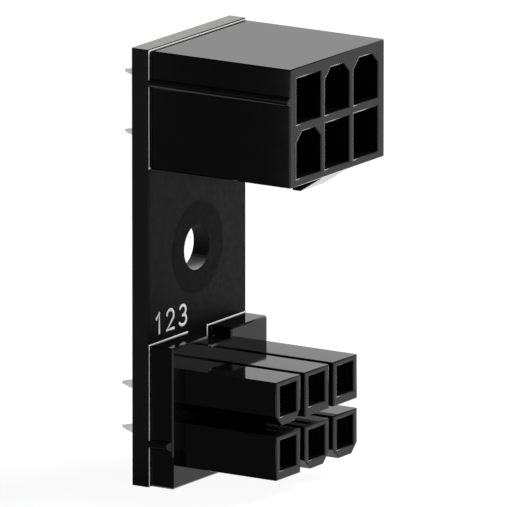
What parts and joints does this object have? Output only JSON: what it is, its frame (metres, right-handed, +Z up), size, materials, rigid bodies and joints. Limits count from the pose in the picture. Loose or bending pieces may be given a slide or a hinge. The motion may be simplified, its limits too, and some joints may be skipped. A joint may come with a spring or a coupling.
{
  "type": "power connector adapter",
  "caption": "U-turn adapter for a graphics card power cable: an upright black board with a keyed header at the top and a plug of hollow prongs at the bottom, facing the same way.",
  "frame": {"origin": "middle of the plug's six ways, on the front face of the plug's base that seats against the socket's rim", "axes": "-Y the way both connectors face, +Z up from the plug to the header, X across the ways"},
  "size_m": [0.0143, 0.0177, 0.0357],
  "materials": {
    "board": "satin",
    "housing": "gloss",
    "contact": "satin",
    "solder": "satin"
  },
  "bodies": {
    "root": {"circuit_board": "board", "header_housing": "housing", "plug_housing": "housing", "header_pin_1": "contact", "header_pin_2": "contact", "header_pin_3": "contact", "header_pin_4": "contact", "header_pin_5": "contact", "header_pin_6": "contact", "plug_contact_1": "contact", "plug_contact_2": "contact", "plug_contact_3": "contact", "plug_contact_4": "contact", "plug_contact_5": "contact", "plug_contact_6": "contact", "header_solder_1": "solder", "header_solder_2": "solder", "header_solder_3": "solder", "header_solder_4": "solder", "header_solder_5": "solder", "header_solder_6": "solder", "plug_solder_1": "solder", "plug_solder_2": "solder", "plug_solder_3": "solder", "plug_solder_4": "solder", "plug_solder_5": "solder", "plug_solder_6": "solder"}
  },
  "joints": []
}
